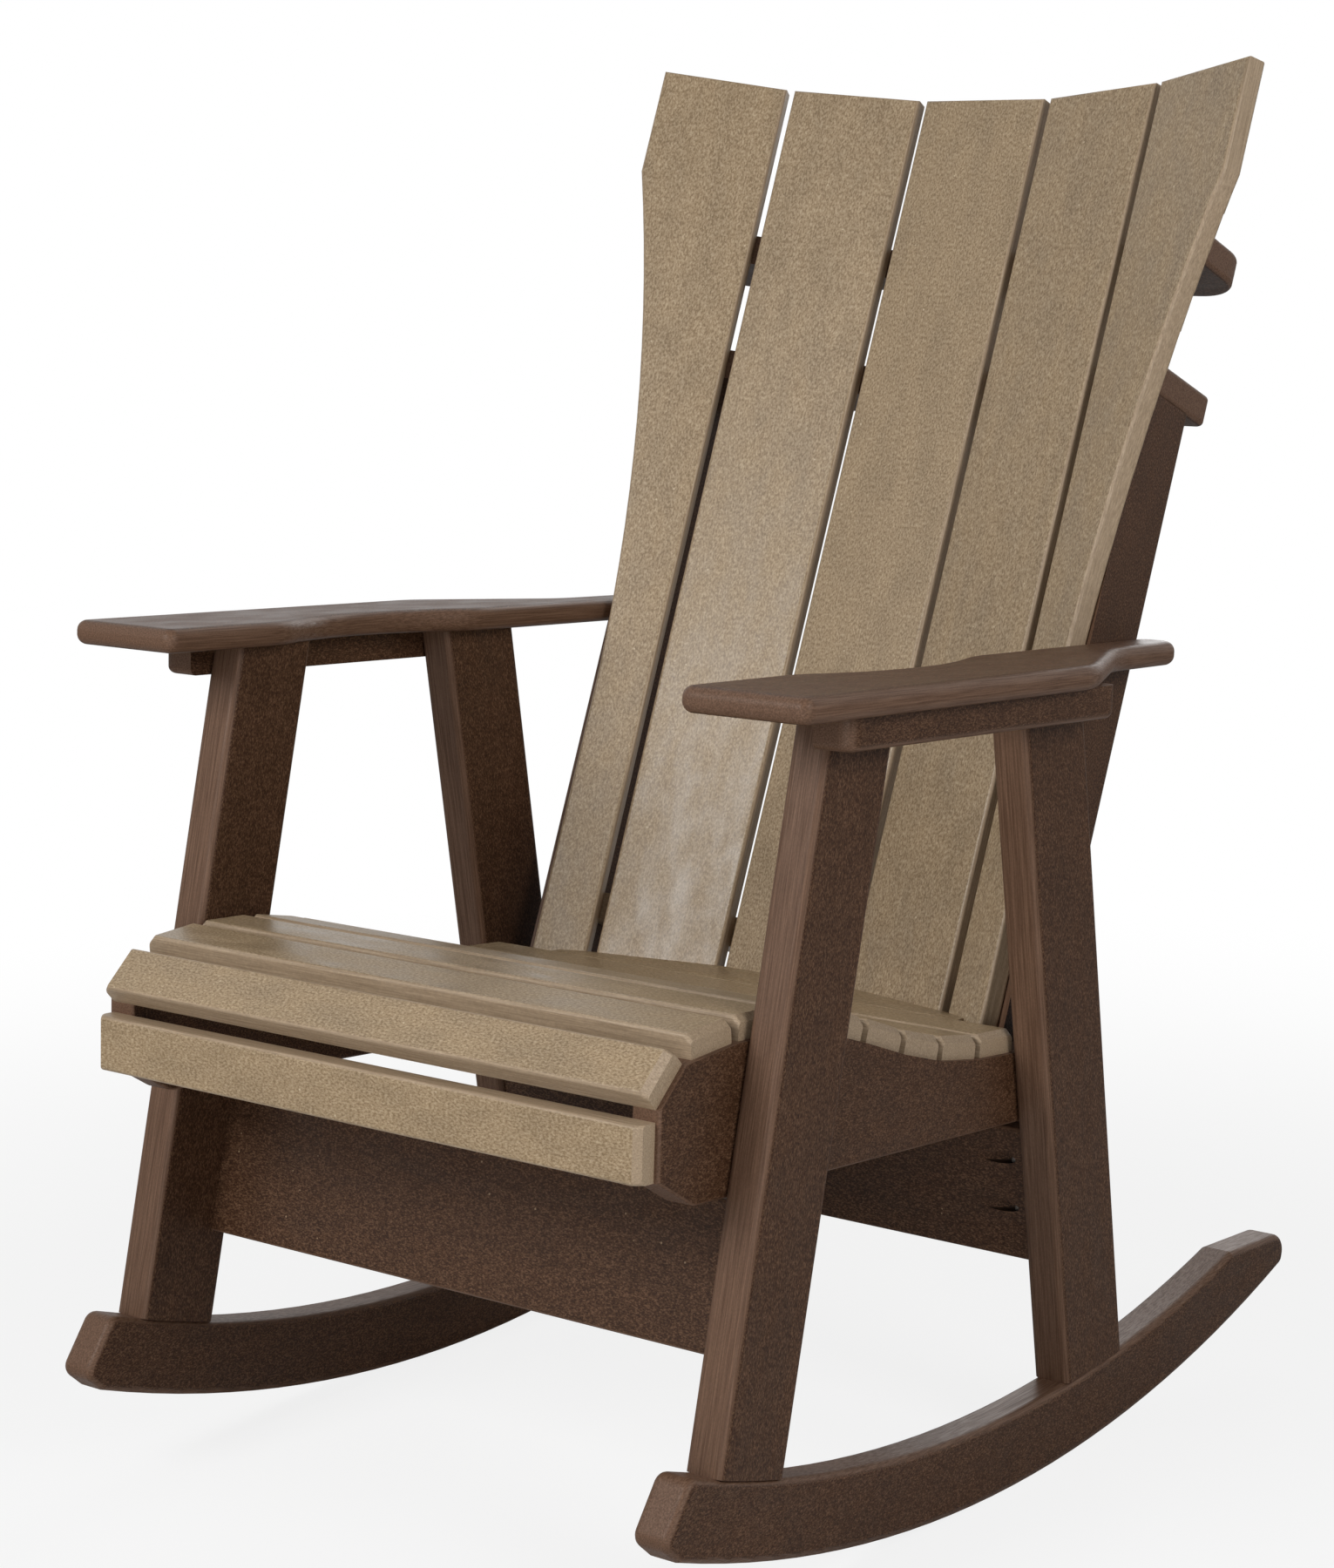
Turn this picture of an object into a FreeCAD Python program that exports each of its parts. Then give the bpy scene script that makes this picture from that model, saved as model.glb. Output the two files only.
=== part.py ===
import FreeCAD, Part
import math
import os
import re
import Sketcher

# Rocking adirondack chair: two curved runners, leaning legs, wide arms on support
# bars, a dished seat of slats and a concave back of five tall slats on three rails.
#
# Frame while it is drawn: X to the sitter's left, Y to the back, Z up, with the arms
# level and the origin on the floor midway between the runners, under the centre of
# the runners' arc. The finished chair then rolls back on that arc to the angle where
# it balances, which keeps the origin at the point of contact with the floor.

doc = FreeCAD.newDocument("RockingAdirondackChair")

# Driving dimensions, in millimetres and degrees
sizes = {
    # Board thicknesses and rounded edges
    "frame_board": 32.0,            # runners, legs, uprights, width of the support bars
    "rail_board": 25.4,             # seat sides and back rails, height of the support bars
    "arm_board": 19.0,
    "slat_board": 18.0,             # slats, apron and stretchers
    "frame_rounding": 6.0,
    "rail_rounding": 4.0,
    "arm_rounding": 8.0,
    "slat_rounding": 3.0,
    # Overall frame
    "frame_width": 597.0,           # over the outer faces of the runners and legs
    "arm_height": 646.5,            # top of the arms above the floor, arms level
    # Runners
    "rocker_radius": 1250.0,        # arc that rolls on the floor
    "rocker_top_radius": 1256.0,
    "rocker_height": 61.0,          # at its lowest point
    "rocker_front_end": 366.0,      # where the floor arc ends, ahead of the contact line
    "rocker_rear_end": 486.0,
    "rocker_toe_reach": 385.0,
    "rocker_toe_height": 70.0,
    "rocker_toe_top": 357.0,        # where the top arc ends at the front
    "rocker_tail_start": 395.0,     # where the top arc gives way to the level tail
    "rocker_tail_length": 97.0,
    "rocker_toe_rounding": 10.0,
    "rocker_heel_rounding": 8.0,
    "rocker_tail_rounding": 16.0,
    # Legs: centre lines meet the floor plane at the foot distances
    "front_leg_width": 79.0,
    "front_leg_lean": 10.9,         # top leans back
    "front_leg_foot": 305.0,        # ahead of the contact line
    "rear_leg_width": 84.0,
    "rear_leg_lean": 11.6,          # top leans forward
    "rear_leg_foot": 190.0,         # behind the contact line
    # Arms
    "arm_front": 326.0,             # front edge ahead of the contact line
    "arm_length": 611.0,
    "arm_outer": 349.0,             # outer edge at the front, from the middle of the chair
    "arm_outer_rear": 345.0,        # outer edge where the shoulder starts
    "arm_shoulder": 376.0,          # from the front edge to the shoulder
    "arm_tongue": 504.0,            # from the front edge to where the tongue starts
    "arm_tongue_outer": 283.0,
    "arm_tongue_tip_outer": 279.0,
    "arm_scoop_start": 130.0,       # hollow in the inner edge
    "arm_scoop_end": 350.0,
    "arm_scoop_depth": 24.0,
    "arm_corner": 9.0,
    "arm_shoulder_rounding": 75.0,
    "arm_tongue_rounding": 90.0,
    "arm_scoop_rounding": 100.0,
    "arm_tip_corner": 16.0,
    # Bars under the arms, outside the legs
    "bar_front": 248.0,
    "bar_length": 350.0,
    "bar_corner": 12.0,
    # Seat: dips are the falls to the rear of each slat, in degrees
    "seat_front": 328.5,            # front of the first slat's seating, ahead of contact
    "seat_height": 392.2,           # height of that seating above the floor
    "seat_slat_width": 45.5,
    "seat_slat_gap": 7.5,
    "seat_end_clearance": 4.5,      # between slat ends and the legs
    "seat_end_bevel": 5.0,
    "dip_1": -6.3,
    "dip_2": 0.5,
    "dip_3": 8.5,
    "dip_4": 16.0,
    "dip_5": 17.5,
    "dip_6": 14.0,
    "dip_7": 7.0,
    "dip_8": 2.0,
    "rear_slat_drop": 2.0,          # rear slat's underside below the end of the row
    "rear_slat_length": 412.0,
    "seat_lip": 10.5,               # seat sides run on ahead of the first slat
    "nose_slope": 45.0,
    "nose_width": 39.0,
    "apron_drop": 8.5,              # from the nose slat's lower corner to the apron
    "apron_height": 42.0,
    "seat_side_belly": 322.0,       # lower front corner, ahead of the contact line
    "seat_side_front_height": 290.5,
    "seat_side_rear_height": 280.5,
    "seat_side_setback": 6.0,       # rear end ahead of the rear leg's rear edge
    "seat_side_rounding": 20.0,
    # Stretchers between the legs
    "stretcher_height": 112.0,
    "front_stretcher_rise": 169.0,  # lower edge, measured up the leg from its foot
    "rear_stretcher_rise": 171.0,
    "rear_stretcher_setback": 5.0,
    # Back: distances up the back are measured from the level of the arms
    "back_recline": 19.0,
    "back_front": 243.0,            # middle slat's face at arm height, behind contact
    "back_top": 460.0,
    "back_foot": 318.0,             # slats' lower ends, below arm level
    "back_slat_width": 118.0,       # at the top
    "back_slat_foot_width": 107.0,
    "back_slat_gap": 7.0,           # at the top
    "inner_fan": 13.2,              # turn of the slats beside the middle one
    "outer_fan": 23.8,
    "outer_slat_width": 112.0,
    "outer_slat_foot_width": 44.0,
    "outer_slat_waist": 110.0,      # below arm level, where the sweep outwards starts
    "outer_slat_knee": 367.0,
    "upright_rear": 39.0,           # rear edge, behind the middle slat's face
    "upright_foot": 370.0,
    "upright_top": 200.0,
    "mid_rail_rear": 68.7,
    "mid_rail_corner": 8.0,
    "top_rail_height": 305.0,
    "top_rail_reach": 265.0,
    "top_rail_rear": 50.0,
    "top_rail_corner": 42.0,
    "lower_rail_depth": 290.0,      # underside, below arm level
    "lower_rail_rear": 62.0,
}
sheet = doc.addObject("Spreadsheet::Sheet", "Sizes")
for row, (name, size) in enumerate(sizes.items(), start=1):
    sheet.set(f"A{row}", str(size))
    sheet.setAlias(f"A{row}", name)

# Worked-out places: a second sheet of formulas over the driving dimensions
layout = doc.addObject("Spreadsheet::Sheet", "Places")
places = []


def bind(formula):
    """Name the sheet that holds each size or place in a formula."""
    def owner(match):
        word = match.group(0)
        if word in sizes:
            return "Sizes." + word
        return "Places." + word if word in places else word
    return re.sub(r"\b[a-z]\w*", owner, formula)


def place(name, formula):
    """Add one worked-out place to the second sheet."""
    cell = f"A{len(places) + 1}"
    layout.set(cell, "=" + bind(formula).replace("Places.", ""))
    layout.setAlias(cell, name)
    places.append(name)


def value(formula):
    return float(layout.evalExpression(bind(formula)))


place("leg_inner", "frame_width / 2 - frame_board")
place("upright_outer", "leg_inner - rail_board")
place("upright_inner", "upright_outer - frame_board")
place("arm_underside", "arm_height - arm_board")
place("rocker_top_centre", "rocker_height + rocker_top_radius")
place("rear_leg_tilt", "-rear_leg_lean")

# Seat line: the top edge of the seat sides, one straight seating for each slat
place("seat_pitch", "seat_slat_width + seat_slat_gap")
place("seat_length", "2 * (leg_inner - seat_end_clearance)")
place("seat_y_1", "-seat_front")
place("seat_z_1", "seat_height")
SEAT_ROW = range(1, 9)
for number in SEAT_ROW:
    place(f"seat_y_{number + 1}", f"seat_y_{number} + seat_pitch * cos(dip_{number})")
    place(f"seat_z_{number + 1}", f"seat_z_{number} - seat_pitch * sin(dip_{number})")
place("lip_run", "seat_lip - seat_slat_gap / 2")
place("lip_y", "seat_y_1 - lip_run * cos(dip_1)")
place("lip_z", "seat_z_1 + lip_run * sin(dip_1)")
place("nose_y", "lip_y - nose_width * cos(nose_slope)")
place("nose_z", "lip_z - nose_width * sin(nose_slope)")
place("apron_top", "nose_z - apron_drop")
place("apron_foot", "apron_top - apron_height")
place("rear_slat_z", "seat_z_9 - rear_slat_drop")

# Cross-section of the back, seen along the slats: across, and forwards of the middle
# slat's face. Each front face lies on a line; the rails and uprights meet the lines
# one slat thickness behind it.
place("half_slat", "back_slat_width / 2")
place("inner_slat_x", "half_slat + back_slat_gap * cos(inner_fan / 2)")
place("inner_slat_w", "back_slat_gap * sin(inner_fan / 2)")
place("fan_between", "(inner_fan + outer_fan) / 2")
place("outer_slat_x", "inner_slat_x + back_slat_width * cos(inner_fan)"
      " + back_slat_gap * cos(fan_between)")
place("outer_slat_w", "inner_slat_w + back_slat_width * sin(inner_fan)"
      " + back_slat_gap * sin(fan_between)")
place("inner_line", "inner_slat_w * cos(inner_fan) - inner_slat_x * sin(inner_fan)")
place("outer_line", "outer_slat_w * cos(outer_fan) - outer_slat_x * sin(outer_fan)")
place("fan_step", "sin(outer_fan - inner_fan)")


def facet_corners(offset, end):
    """Corners of the concave line a distance in front of the slat faces, left half.

    They are the bends behind the two gaps and the point at the distance called end
    from the middle."""
    inner = f"(inner_line + {offset})"
    outer = f"(outer_line + {offset})"
    first = (f"({inner} - {offset} * cos(inner_fan)) / (0 - sin(inner_fan))", offset)
    second = (f"({inner} * cos(outer_fan) - {outer} * cos(inner_fan)) / fan_step",
              f"({inner} * sin(outer_fan) - {outer} * sin(inner_fan)) / fan_step")
    last = (end, f"({outer} + ({end}) * sin(outer_fan)) / cos(outer_fan)")
    return [first, second, last]


doc.recompute()

# The chair's own roll back to where it balances. It is set once all boards exist.
place("rest_tilt", "0")
rest_pose = doc.addObject("App::Placement", "Rest_pose")
rest_pose.setExpression("Placement", bind(
    "placement(vector(0; 0; rocker_radius); rotation(vector(1; 0; 0); -rest_tilt))"
    " * placement(vector(0; 0; -rocker_radius); rotation(vector(1; 0; 0); 0))"))
doc.recompute()

chair = []


def new_body(label, across="0", back="0", up="0", lean="0", turn="0"):
    """A board's body: moved, leaned back about X and turned about its own length."""
    body = doc.addObject("PartDesign::Body", label)
    body.Label = label
    body.setExpression("Placement", bind(
        f"Rest_pose.Placement * placement(vector({across}; {back}; {up});"
        f" rotation(vector(1; 0; 0); -({lean})))"
        f" * placement(vector(0; 0; 0); rotation(vector(0; 0; 1); {turn}))"))
    chair.append(body)
    return body


def draw(body, plane_role, corners):
    """A closed outline on one of the body's own planes.

    A corner is (x, y), or (x, y, radius) where an arc leads on to the next corner; a
    radius that starts with a minus sign bends to the right on the way round."""
    plane = next(item for item in body.Origin.OriginFeatures if item.Role == plane_role)
    sketch = body.newObject("Sketcher::SketchObject", body.Label + "_outline")
    sketch.AttachmentSupport = [(plane, "")]
    sketch.MapMode = "FlatFace"
    points = [FreeCAD.Vector(value(corner[0]), value(corner[1]), 0) for corner in corners]
    first_ends = []
    for index, corner in enumerate(corners):
        start = points[index]
        end = points[(index + 1) % len(points)]
        if len(corner) == 2:
            sketch.addGeometry(Part.LineSegment(start, end), False)
            first_ends.append(1)
            continue
        clockwise = corner[2].startswith("-")
        radius = abs(value(corner[2]))
        chord = end - start
        rise = math.sqrt(radius ** 2 - (chord.Length / 2) ** 2)
        normal = FreeCAD.Vector(-chord.y, chord.x, 0).normalize()
        centre = (start + end) / 2 + normal * (-rise if clockwise else rise)
        low, high = (end, start) if clockwise else (start, end)
        angles = [math.atan2(point.y - centre.y, point.x - centre.x) for point in (low, high)]
        circle = Part.Circle(centre, FreeCAD.Vector(0, 0, 1), radius)
        sketch.addGeometry(Part.ArcOfCircle(circle, angles[0], angles[1]), False)
        first_ends.append(2 if clockwise else 1)
    for index, corner in enumerate(corners):
        following = (index + 1) % len(corners)
        sketch.addConstraint(Sketcher.Constraint(
            "Coincident", index, 3 - first_ends[index], following, first_ends[following]))
        for kind, formula in (("DistanceX", corner[0]), ("DistanceY", corner[1])):
            number = sketch.addConstraint(Sketcher.Constraint(
                kind, -1, 1, index, first_ends[index], value(formula)))
            sketch.setExpression(f"Constraints[{number}]", bind(formula))
        if len(corner) == 3:
            radius = corner[2].lstrip("-")
            number = sketch.addConstraint(Sketcher.Constraint("Radius", index, value(radius)))
            sketch.setExpression(f"Constraints[{number}]", bind(radius))
    return sketch


def pad(body, plane_role, corners, thickness, both_ways=False):
    """Pad an outline into a board."""
    sketch = draw(body, plane_role, corners)
    board = body.newObject("PartDesign::Pad", body.Label + "_board")
    board.Profile = sketch
    board.setExpression("Length", bind(thickness))
    board.SideType = "Symmetric" if both_ways else "One side"
    doc.recompute()
    return board


def dress(body, kind, amount, wanted):
    """Round or bevel the edges of a body for which wanted(edge) is true."""
    base = body.Tip
    names = [f"Edge{number}" for number, edge in enumerate(base.Shape.Edges, start=1)
             if wanted(edge)]
    feature = body.newObject("PartDesign::" + kind, f"{body.Label}_{kind.lower()}")
    feature.Base = (base, names)
    feature.setExpression("Radius" if kind == "Fillet" else "Size", bind(amount))
    doc.recompute()
    return feature


def runs_along(edge, axis):
    """True for a straight edge along X, Y or Z of its own body."""
    first, last = edge.Vertexes[0].Point, edge.Vertexes[-1].Point
    span = last - first
    return len(edge.Vertexes) == 2 and abs(abs(span[axis]) - edge.Length) < 1e-6


def round_corner(body, axis, corner, radius):
    """Round the edge along an axis that passes through a corner of the outline."""
    others = [index for index in range(3) if index != axis]
    target = [value(part) for part in corner[:2]]

    def wanted(edge):
        point = edge.Vertexes[0].Point
        near = all(abs(point[index] - goal) < 0.01 for index, goal in zip(others, target))
        return near and runs_along(edge, axis)
    return dress(body, "Fillet", radius, wanted)


def soften(body, axis, radius, keep=None):
    """Round the edges round a board's two broad faces, which face along an axis."""
    box = body.Tip.Shape.BoundBox
    faces = ((box.XMin, box.XMax), (box.YMin, box.YMax), (box.ZMin, box.ZMax))[axis]

    def wanted(edge):
        level = edge.BoundBox
        low = (level.XMin, level.YMin, level.ZMin)[axis]
        high = (level.XMax, level.YMax, level.ZMax)[axis]
        flat = high - low < 0.01 and min(abs(low - side) for side in faces) < 0.01
        return flat and (keep is None or keep(edge))
    return dress(body, "Fillet", radius, wanted)


def inner_face(side, inner, thickness):
    """Place across of a board padded along +X whose inner face is at a distance."""
    return inner if side == "left" else f"-({inner} + {thickness})"


def circle_height(centre, radius, across):
    """Height of an arc, below its centre, at a distance across."""
    return f"({centre} - sqrt({radius} ^ 2 - ({across}) ^ 2))"


# Runners: two arcs, a bevelled toe and a rolled tail
def runner(side):
    body = new_body(f"runner_{side}", inner_face(side, "leg_inner", "frame_board"))
    tail_top = circle_height("rocker_top_centre", "rocker_top_radius", "rocker_tail_start")
    toe_top = circle_height("rocker_top_centre", "rocker_top_radius", "rocker_toe_top")
    heel = circle_height("rocker_radius", "rocker_radius", "rocker_rear_end")
    sole = circle_height("rocker_radius", "rocker_radius", "rocker_front_end")
    outline = [
        ("-rocker_front_end", sole, "rocker_radius"),
        ("rocker_rear_end", heel),
        ("rocker_tail_start + rocker_tail_length", tail_top),
        ("rocker_tail_start", tail_top, "-rocker_top_radius"),
        ("-rocker_toe_top", toe_top),
        ("-rocker_toe_reach", "rocker_toe_height"),
    ]
    pad(body, "YZ_Plane", outline, "frame_board")
    round_corner(body, 0, outline[1], "rocker_heel_rounding")
    round_corner(body, 0, outline[2], "rocker_tail_rounding")
    for corner in outline[4:]:
        round_corner(body, 0, corner, "rocker_toe_rounding")
    soften(body, 0, "frame_rounding")


# Legs: straight boards from the runner's curved top to the underside of the arm
def leg(label, side, foot, lean, width):
    body = new_body(label, inner_face(side, "leg_inner", "frame_board"), foot, "0", lean)
    half = f"{width} / 2"
    centre_y = f"(rocker_top_centre * sin({lean}) + {foot} * cos({lean}))"
    centre_z = f"(rocker_top_centre * cos({lean}) - {foot} * sin({lean}))"
    front_foot = circle_height(centre_z, "rocker_top_radius", f"{half} - {centre_y}")
    rear_foot = circle_height(centre_z, "rocker_top_radius", f"{half} + {centre_y}")
    return body, [
        (f"-{half}", front_foot),
        (half, rear_foot),
        (half, f"(arm_underside + {half} * sin({lean})) / cos({lean})"),
        (f"-{half}", f"(arm_underside - {half} * sin({lean})) / cos({lean})"),
    ]


def build_leg(name, side, foot, lean, width):
    body, outline = leg(f"{name}_{side}", side, foot, lean, width)
    outline[0] = outline[0] + ("rocker_top_radius",)
    pad(body, "YZ_Plane", outline, "frame_board")
    soften(body, 0, "frame_rounding", lambda edge: runs_along(edge, 2))


# Arms: broad front, a hollow in the inner edge, and a tongue beside the back upright
def arm(side):
    body = new_body(f"arm_{side}", "0", "-arm_front", "arm_underside")
    scoop_radius = ("((arm_scoop_end - arm_scoop_start) ^ 2 / 4 + arm_scoop_depth ^ 2)"
                    " / (2 * arm_scoop_depth)")
    outline = [
        ("upright_outer", "0"),
        ("arm_outer", "0"),
        ("arm_outer_rear", "arm_shoulder"),
        ("arm_tongue_outer", "arm_tongue"),
        ("arm_tongue_tip_outer", "arm_length"),
        ("upright_outer", "arm_length"),
        ("upright_outer", "arm_scoop_end", "-" + scoop_radius),
        ("upright_outer", "arm_scoop_start"),
    ]
    roundings = [(0, "arm_corner"), (1, "arm_corner"), (2, "arm_shoulder_rounding"),
                 (3, "arm_tongue_rounding"), (4, "arm_tip_corner"), (5, "arm_tip_corner"),
                 (6, "arm_scoop_rounding"), (7, "arm_scoop_rounding")]
    if side == "right":
        outline = [(f"-({corner[0]})",) + corner[1:] for corner in outline]
        outline[6] = outline[6][:2] + (scoop_radius,)
    pad(body, "XY_Plane", outline, "arm_board")
    for index, radius in roundings:
        round_corner(body, 2, outline[index], radius)
    soften(body, 2, "arm_rounding")


# Support bars: screwed to the outer faces of both legs, under the arm
def arm_support(side):
    body = new_body(f"arm_support_{side}", "0", "-bar_front", "arm_underside - rail_board")
    sign = "" if side == "left" else "-"
    inner = f"{sign}(frame_width / 2)"
    outer = f"{sign}(frame_width / 2 + frame_board)"
    outline = [(inner, "0"), (outer, "0"), (outer, "bar_length"), (inner, "bar_length")]
    pad(body, "XY_Plane", outline, "rail_board")
    for corner in outline[1:3]:
        round_corner(body, 2, corner, "bar_corner")
    inner_face_x = value(inner)
    soften(body, 2, "frame_rounding",
           lambda edge: edge.BoundBox.ZMax < 0.01
           and abs(edge.CenterOfMass.x - inner_face_x) > 0.01)


# Seat sides: the slats' seatings on top, the nose's slope and a rounded belly in front
def seat_side(side):
    body = new_body(f"seat_side_{side}", inner_face(side, "upright_outer", "rail_board"))
    rear_line = ("(rear_leg_foot - tan(rear_leg_lean) * {0}"
                 " + rear_leg_width / (2 * cos(rear_leg_lean)) - seat_side_setback)")
    outline = [
        ("nose_y", "apron_foot"),
        ("-seat_side_belly", "seat_side_front_height"),
        (rear_line.format("seat_side_rear_height"), "seat_side_rear_height"),
        (rear_line.format("seat_z_9"), "seat_z_9"),
    ]
    for number in reversed(SEAT_ROW):
        outline.append((f"seat_y_{number + 1}", f"seat_z_{number + 1}"))
    outline += [("lip_y", "lip_z"), ("nose_y", "nose_z")]
    pad(body, "YZ_Plane", outline, "rail_board")
    round_corner(body, 0, outline[1], "seat_side_rounding")
    lowest_seat = value("seat_z_9") - 0.01
    soften(body, 0, "slat_rounding", lambda edge: edge.BoundBox.ZMin < lowest_seat)


# Seat slats: bevelled ends and rounded long edges, each flat on its own seating
def bevelled_board(body, length, width, bevel):
    """A board across the chair, with its foot at the body's origin."""
    outline = [
        (f"-{length} / 2", "0"),
        (f"{length} / 2", "0"),
        (f"{length} / 2", f"slat_board - {bevel}"),
        (f"{length} / 2 - {bevel}", "slat_board"),
        (f"-({length} / 2 - {bevel})", "slat_board"),
        (f"-{length} / 2", f"slat_board - {bevel}"),
    ]
    board = pad(body, "XZ_Plane", outline, width)
    board.Reversed = True
    doc.recompute()
    soften(body, 1, "slat_rounding", lambda edge: edge.BoundBox.ZMax > 0.01
           and not runs_along(edge, 2))


def seat_slat(number):
    start = "seat_slat_gap / 2"
    body = new_body(
        f"seat_slat_{number}", "0", f"seat_y_{number} + {start} * cos(dip_{number})",
        f"seat_z_{number} - {start} * sin(dip_{number})", f"dip_{number}")
    bevelled_board(body, "seat_length", "seat_slat_width", "seat_end_bevel")


def seat_nose_slat():
    body = new_body("seat_nose_slat", "0", "nose_y", "nose_z", "-nose_slope")
    bevelled_board(body, "seat_length", "nose_width", "seat_end_bevel")


def seat_apron():
    body = new_body("seat_apron", "0", "nose_y", "apron_foot", "-90")
    bevelled_board(body, "seat_length", "apron_height", "seat_end_bevel")


# Rear slat: its rear edge is cut to the concave back and butts on the back slats' feet
def rear_seat_slat():
    body = new_body("rear_seat_slat", "0", "0", "rear_slat_z")
    front = "seat_y_9 + seat_slat_gap / 2"
    deep = "seat_y_9 + 2 * seat_pitch"
    end = "rear_slat_length / 2"
    outline = [(f"-{end}", front), (end, front), (end, deep), (f"-{end}", deep)]
    pad(body, "XY_Plane", outline, "slat_board")
    line = facet_corners("0", "(rear_slat_length / 2 + seat_slat_gap)")
    far = "(0 - 4 * seat_pitch)"
    cut = [(f"-({x})", w) for x, w in reversed(line)] + line
    cut = [(f"-({line[-1][0]})", far)] + cut + [(line[-1][0], far)]
    sketch = draw(body, "XY_Plane", [(x, f"-({w})") for x, w in reversed(cut)])
    sketch.setExpression("AttachmentOffset", bind(
        "placement(vector(0; back_front; arm_height - rear_slat_z);"
        " rotation(vector(1; 0; 0); -back_recline))"))
    pocket = body.newObject("PartDesign::Pocket", "rear_seat_slat_back_line")
    pocket.Profile = sketch
    pocket.SideType = "Symmetric"
    pocket.Type = "ThroughAll"
    doc.recompute()
    soften(body, 2, "slat_rounding", lambda edge: edge.BoundBox.ZMin > 0.01
           and edge.BoundBox.YMax < value(front) + 0.01 and runs_along(edge, 0))


# Stretchers: lean with the legs that they join
def stretcher(label, foot, lean, front, rise):
    body = new_body(label, "0", foot, "0", lean)
    back = f"{front} + slat_board"
    top = f"{rise} + stretcher_height"
    outline = [(front, rise), (back, rise), (back, top), (front, top)]
    pad(body, "YZ_Plane", outline, "2 * leg_inner", both_ways=True)
    dress(body, "Fillet", "slat_rounding", lambda edge: runs_along(edge, 0))


# Back: bodies whose Z runs up the slats and whose -Y faces forwards
def back_body(label, across="0", forwards="0", turn="0"):
    base_y = f"back_front - ({forwards}) * cos(back_recline)"
    base_z = f"arm_height + ({forwards}) * sin(back_recline)"
    return new_body(label, across, base_y, base_z, "back_recline", turn)


def back_slat(number, across, forwards, turn, outline):
    """A back slat drawn as seen from the front, then padded away behind its face."""
    body = back_body(f"back_slat_{number}", across, forwards, turn)
    board = pad(body, "XZ_Plane", outline, "slat_board")
    board.Reversed = True
    doc.recompute()
    soften(body, 1, "slat_rounding")


def straight_slat(low_left, low_right, top_left, top_right):
    return [(low_left, "-back_foot"), (low_right, "-back_foot"),
            (top_right, "back_top"), (top_left, "back_top")]


def outer_slat(sign):
    """Waisted slat: narrow foot, an arc out to the knee, then straight to the top."""
    spread = "(outer_slat_width - outer_slat_foot_width)"
    climb = "(outer_slat_knee + outer_slat_waist)"
    sweep = f"({climb} ^ 2 + {spread} ^ 2) / (2 * {spread})"
    bend = sweep if sign else "-" + sweep
    outline = [
        ("0", "-back_foot"),
        (f"{sign}outer_slat_foot_width", "-back_foot"),
        (f"{sign}outer_slat_foot_width", "-outer_slat_waist", bend),
        (f"{sign}outer_slat_width", "outer_slat_knee"),
        (f"{sign}outer_slat_width", "back_top"),
        ("0", "back_top"),
    ]
    return outline


def back_slats():
    slant = "(back_slat_foot_width)"
    back_slat(1, "-outer_slat_x", "outer_slat_w", "outer_fan", outer_slat("-"))
    back_slat(2, "-inner_slat_x", "inner_slat_w", "inner_fan",
              straight_slat(f"-{slant}", "0", "-back_slat_width", "0"))
    back_slat(3, "0", "0", "0", straight_slat(
        f"-{slant} / 2", f"{slant} / 2", "-half_slat", "half_slat"))
    back_slat(4, "inner_slat_x", "inner_slat_w", "-inner_fan",
              straight_slat("0", slant, "0", "back_slat_width"))
    back_slat(5, "outer_slat_x", "outer_slat_w", "-outer_fan", outer_slat(""))


def along_back(body, outline, low, length):
    """Pad a cross-section of the back upwards from a distance along the slats."""
    sketch = draw(body, "XY_Plane", [(x, f"-({w})") for x, w in outline])
    sketch.setExpression("AttachmentOffset", bind(
        f"placement(vector(0; 0; {low}); rotation(vector(1; 0; 0); 0))"))
    board = body.newObject("PartDesign::Pad", body.Label + "_board")
    board.Profile = sketch
    board.setExpression("Length", bind(length))
    doc.recompute()


def back_upright(side):
    body = back_body(f"back_upright_{side}")
    sign = "" if side == "left" else "-"
    inner_w = facet_corners("(0 - slat_board)", "upright_inner")[2][1]
    outer_w = facet_corners("(0 - slat_board)", "upright_outer")[2][1]
    rear = [(f"{sign}upright_inner", "-upright_rear"), (f"{sign}upright_outer", "-upright_rear")]
    outline = rear + [(f"{sign}upright_outer", outer_w), (f"{sign}upright_inner", inner_w)]
    along_back(body, outline, "-upright_foot", "upright_foot + upright_top")
    for x, w in rear:
        round_corner(body, 2, (x, f"-({w})"), "frame_rounding")


def back_rail(label, low, reach, rear, corner):
    """Rail across the back: a facetted front edge that seats every slat."""
    body = back_body(label)
    line = facet_corners("(0 - slat_board)", reach)
    front = [(f"-({x})", w) for x, w in reversed(line)] + line
    rear_corners = [(reach, f"-{rear}"), (f"-({reach})", f"-{rear}")]
    along_back(body, front + rear_corners, low, "rail_board")
    for x, w in rear_corners:
        round_corner(body, 2, (x, f"-({w})"), corner)
    slack = value("rail_rounding") / 2
    soften(body, 2, "rail_rounding",
           lambda edge: edge.BoundBox.YMax > value(rear) - slack)


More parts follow.
